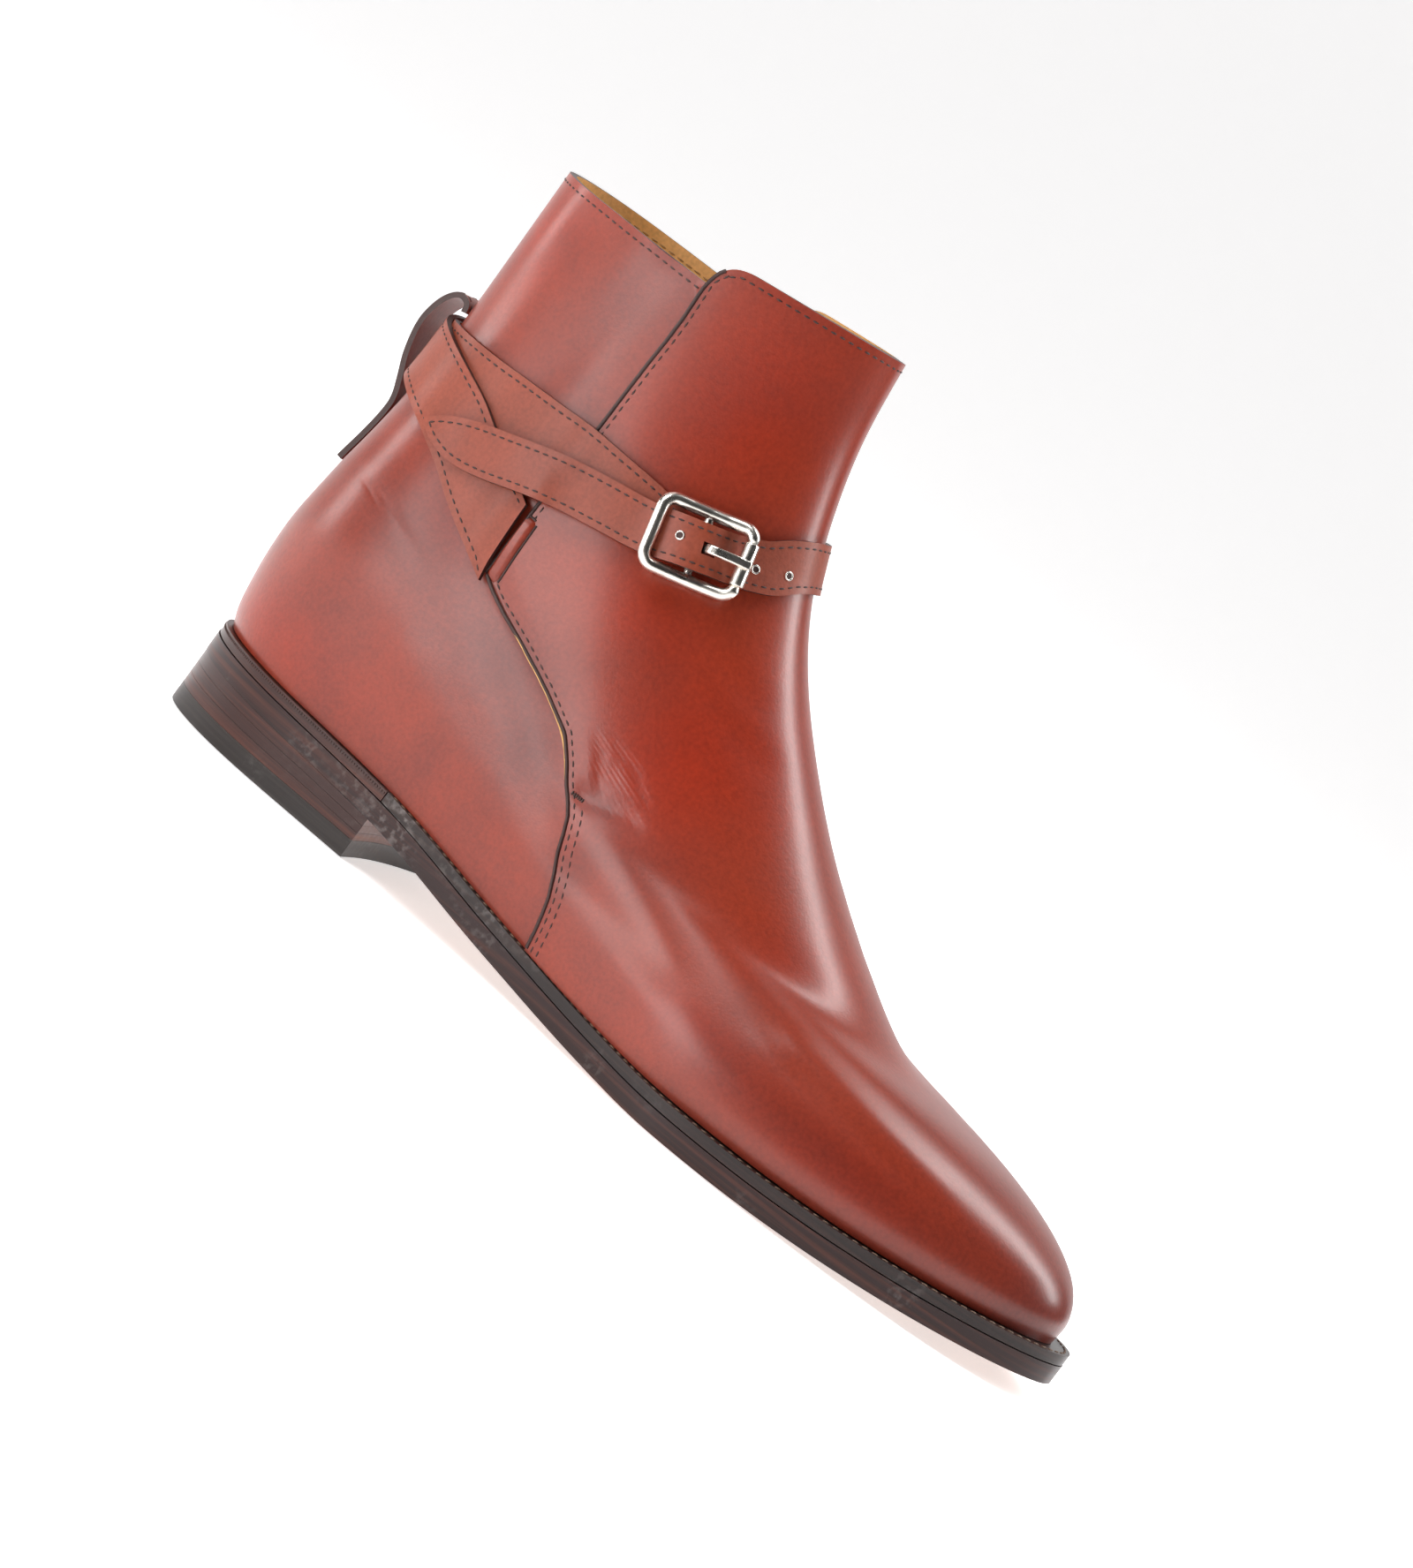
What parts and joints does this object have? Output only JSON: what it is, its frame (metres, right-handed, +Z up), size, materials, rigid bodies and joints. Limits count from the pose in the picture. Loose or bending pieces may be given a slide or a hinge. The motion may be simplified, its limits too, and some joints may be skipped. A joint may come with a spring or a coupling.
{
  "type": "jodhpur boot",
  "caption": "Low-heeled leather ankle boot with a lapped front panel, two crossed ankle straps, a roller buckle, a back pull loop and a welted sole.",
  "frame": {"origin": "middle of the heel's flat tread, on the floor", "axes": "+X to the toe, +Y to the inner side of the foot, +Z up"},
  "size_m": [0.3078, 0.0998, 0.187],
  "materials": {
    "upper_leather": "polished smooth calf, cognac red",
    "strap_leather": "smooth calf, slightly flatter and more orange",
    "sole_leather": "burnished dark edge",
    "insole_leather": "natural undyed",
    "heel_rubber": "matt dark rubber",
    "nickel": "bright nickel plate"
  },
  "bodies": {
    "root": {"upper": "upper_leather", "long_strap": "strap_leather", "buckle_strap": "strap_leather", "pull_loop": "strap_leather", "outsole": "sole_leather", "welt": "sole_leather", "heel_rand": "sole_leather", "heel_lift_1": "sole_leather", "heel_lift_2": "sole_leather", "heel_lift_3": "sole_leather", "top_piece": "heel_rubber", "insole": "insole_leather", "buckle_frame": "nickel", "buckle_roller": "nickel", "buckle_prong": "nickel"}
  },
  "joints": []
}
